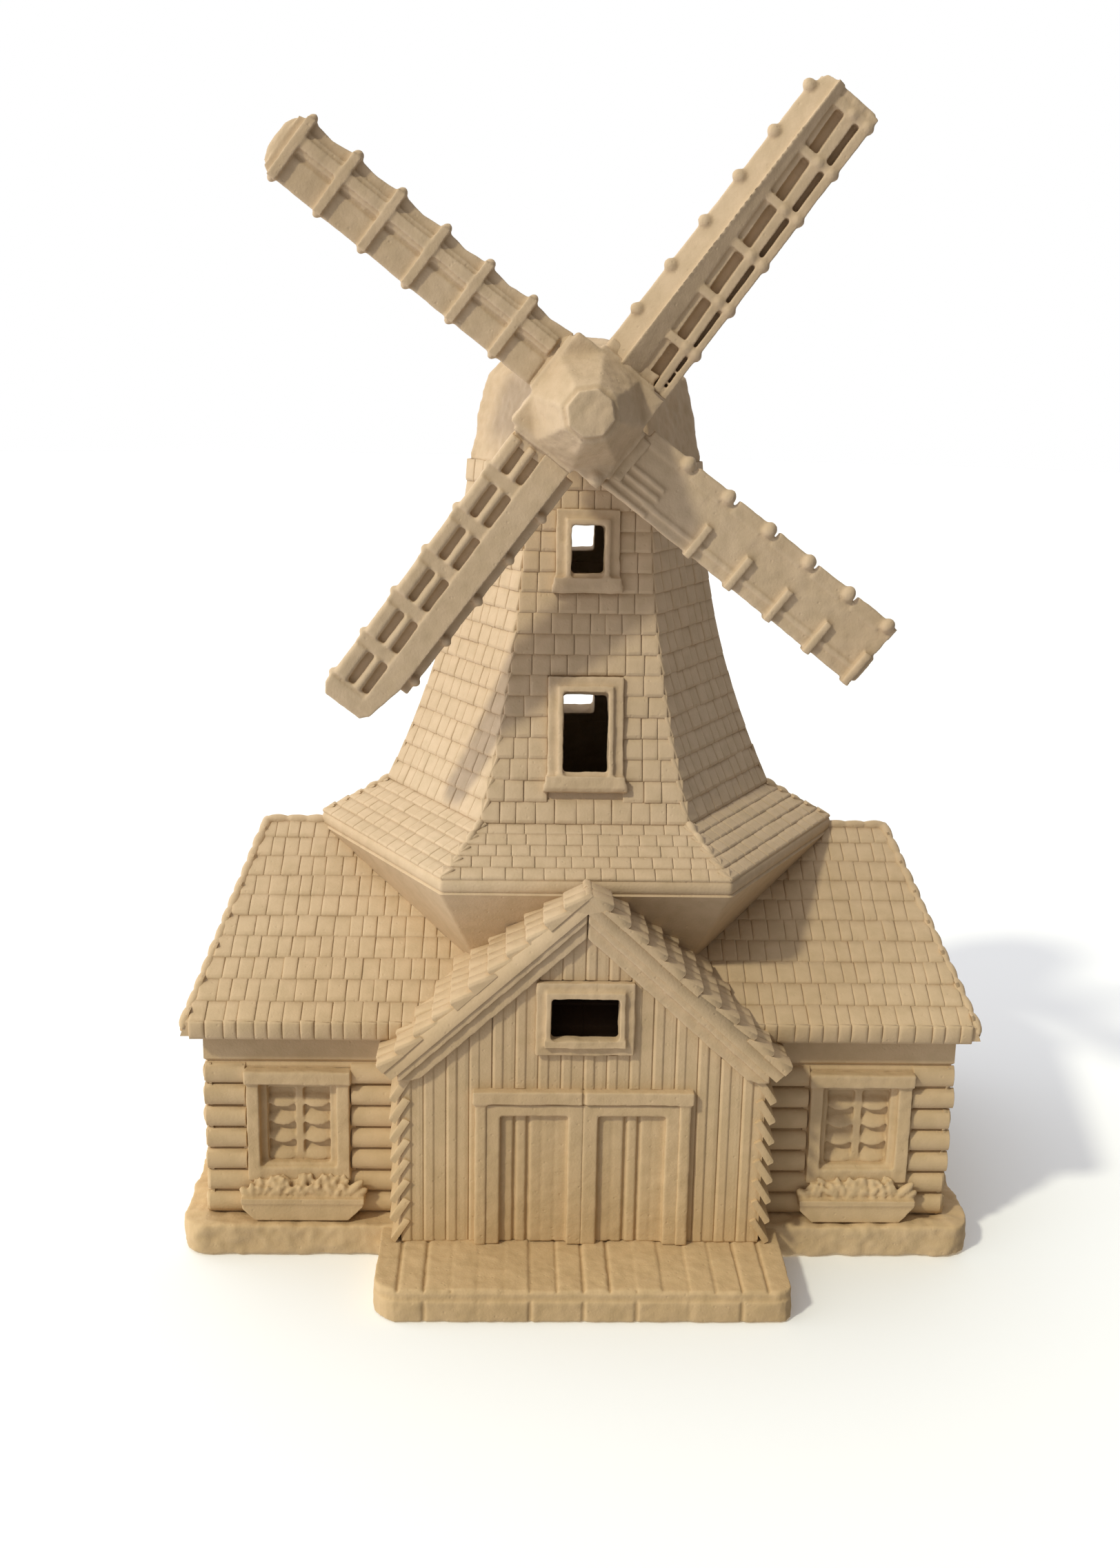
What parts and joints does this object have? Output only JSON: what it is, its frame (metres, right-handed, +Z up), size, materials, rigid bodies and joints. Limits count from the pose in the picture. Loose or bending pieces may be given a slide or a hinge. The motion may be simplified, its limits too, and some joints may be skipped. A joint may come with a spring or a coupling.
{
  "type": "ornamental windmill",
  "caption": "Bisque garden windmill: six-sided shingled tower on a hip-roofed house with a gabled barn front, and a lattice-sail rotor that turns on a steel axle.",
  "frame": {"origin": "on the ground, under the middle of the footprint of plinth and forecourt", "axes": "+Z up, -Y out of the barn front towards the viewer, +X to the viewer's right"},
  "size_m": [0.24, 0.188, 0.3376],
  "materials": {
    "bisque": "unglazed matte",
    "steel": "drawn",
    "brass": "turned"
  },
  "bodies": {
    "house": {"plinth": "bisque", "apron": "bisque", "left_wing_walls": "bisque", "right_wing_walls": "bisque", "barn_walls": "bisque", "left_wing_roof": "bisque", "right_wing_roof": "bisque", "barn_roof": "bisque", "left_barge_board": "bisque", "right_barge_board": "bisque", "gable_window_frame": "bisque", "door_frame": "bisque", "left_door": "bisque", "right_door": "bisque", "left_window_frame": "bisque", "left_window_sash": "bisque", "left_flower_box": "bisque", "right_window_frame": "bisque", "right_window_sash": "bisque", "right_flower_box": "bisque", "tower_foot": "bisque", "tower_shell": "bisque", "lower_front_frame": "bisque", "upper_front_frame": "bisque", "lower_rear_frame": "bisque", "upper_rear_frame": "bisque", "cap": "bisque", "axle_bush": "brass"},
    "rotor": {"hub": "bisque", "hub_boss": "bisque", "upper_right_sail": "bisque", "upper_left_sail": "bisque", "lower_left_sail": "bisque", "lower_right_sail": "bisque", "axle": "steel", "front_washer": "steel", "rear_washer": "steel", "retaining_collar": "steel"}
  },
  "joints": [
    {"name": "sails_spin", "type": "hinge", "parent": "house", "child": "rotor", "pos_m": [-0.0024, -0.03, 0.25], "axis": [0, -1, 0], "continuous": true}
  ]
}
